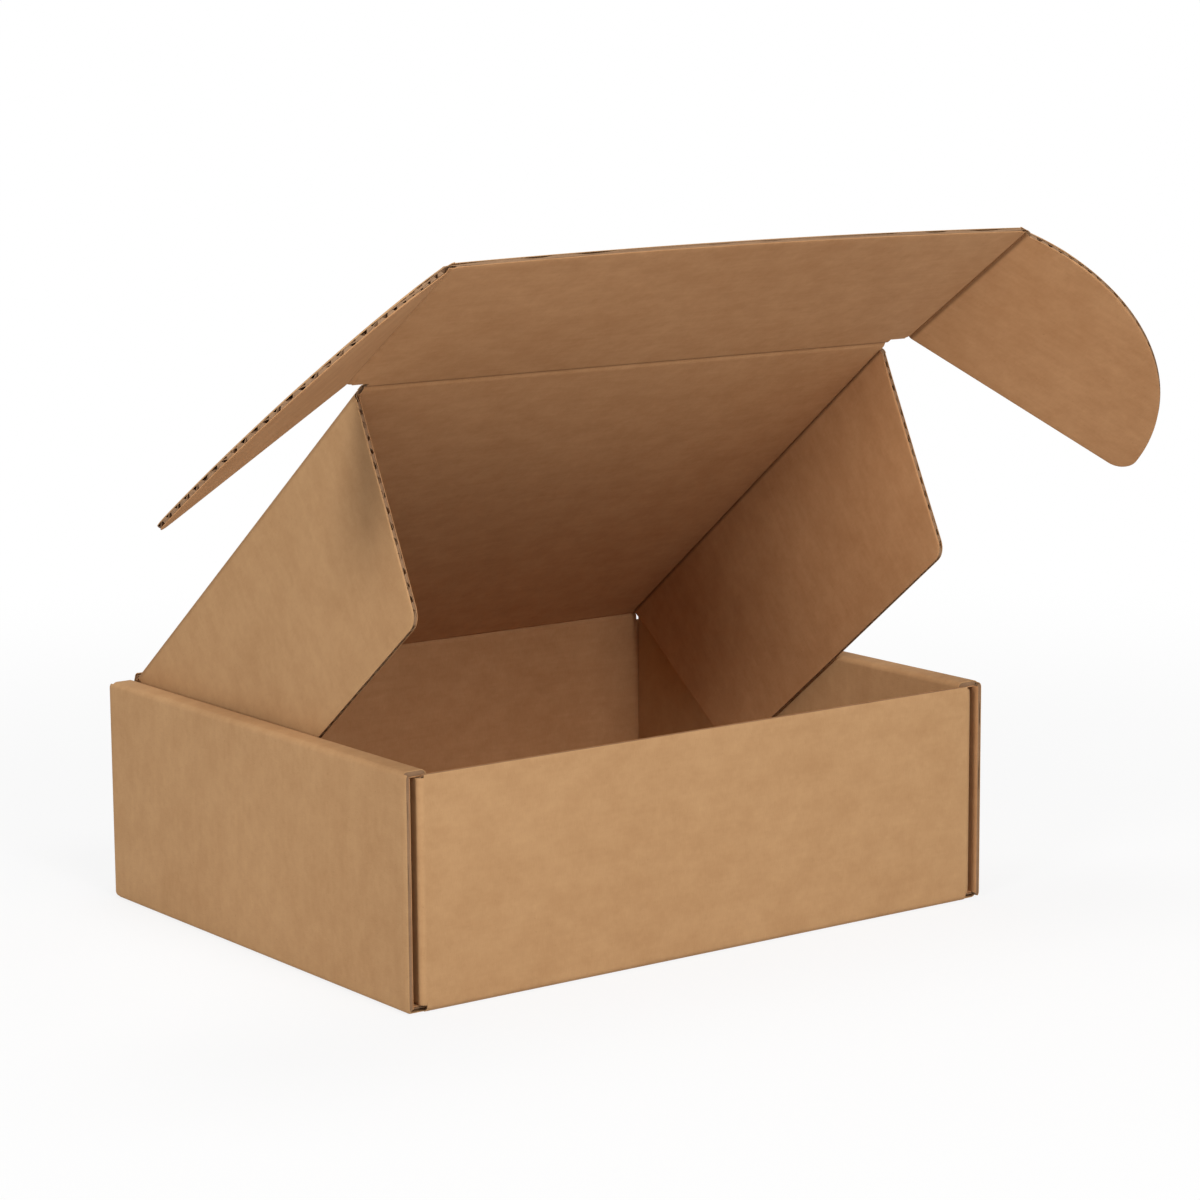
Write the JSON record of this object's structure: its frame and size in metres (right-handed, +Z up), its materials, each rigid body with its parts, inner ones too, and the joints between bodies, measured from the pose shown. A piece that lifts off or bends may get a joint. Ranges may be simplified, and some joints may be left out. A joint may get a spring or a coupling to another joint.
{
  "type": "mailer box",
  "caption": "Corrugated roll-end mailer box with hollow side walls, hinged lid, tuck-in side flaps and a front flap whose rounded ears lock into corner slots.",
  "frame": {"origin": "centre of the tray's underside, on the surface the box rests on", "axes": "+X to the right along the front wall, +Y from the front wall to the lid's hinge, +Z up"},
  "size_m": [0.5373, 0.309, 0.3278],
  "materials": {
    "kraft_board": "matte"
  },
  "bodies": {
    "tray": {"tray": "kraft_board"},
    "lid_panel": {"lid_panel": "kraft_board"},
    "front_flap": {"front_flap": "kraft_board"},
    "left_side_flap": {"left_side_flap": "kraft_board"},
    "right_side_flap": {"right_side_flap": "kraft_board"},
    "left_ear": {"left_ear": "kraft_board"},
    "right_ear": {"right_ear": "kraft_board"}
  },
  "joints": [
    {"name": "lid_hinge", "type": "hinge", "parent": "tray", "child": "lid_panel", "pos_m": [0, 0.1285, 0.1068], "axis": [-1, 0, 0], "range_deg": [-38, 142]},
    {"name": "front_flap_crease", "type": "hinge", "parent": "lid_panel", "child": "front_flap", "pos_m": [0, -0.07662, 0.26706], "axis": [-1, 0, 0], "range_deg": [-86, 20]},
    {"name": "left_side_flap_crease", "type": "hinge", "parent": "lid_panel", "child": "left_side_flap", "pos_m": [-0.1486, 0.12758, 0.10562], "axis": [0, -0.788, 0.6157], "range_deg": [0, 50]},
    {"name": "right_side_flap_crease", "type": "hinge", "parent": "lid_panel", "child": "right_side_flap", "pos_m": [0.1486, 0.12758, 0.10562], "axis": [0, 0.788, -0.6157], "range_deg": [0, 50]},
    {"name": "left_ear_crease", "type": "hinge", "parent": "front_flap", "child": "left_ear", "pos_m": [-0.1607, -0.07662, 0.26706], "axis": [0, 0.829, -0.5592], "range_deg": [-62, 28]},
    {"name": "right_ear_crease", "type": "hinge", "parent": "front_flap", "child": "right_ear", "pos_m": [0.1607, -0.07662, 0.26706], "axis": [0, -0.829, 0.5592], "range_deg": [-50, 40]}
  ]
}
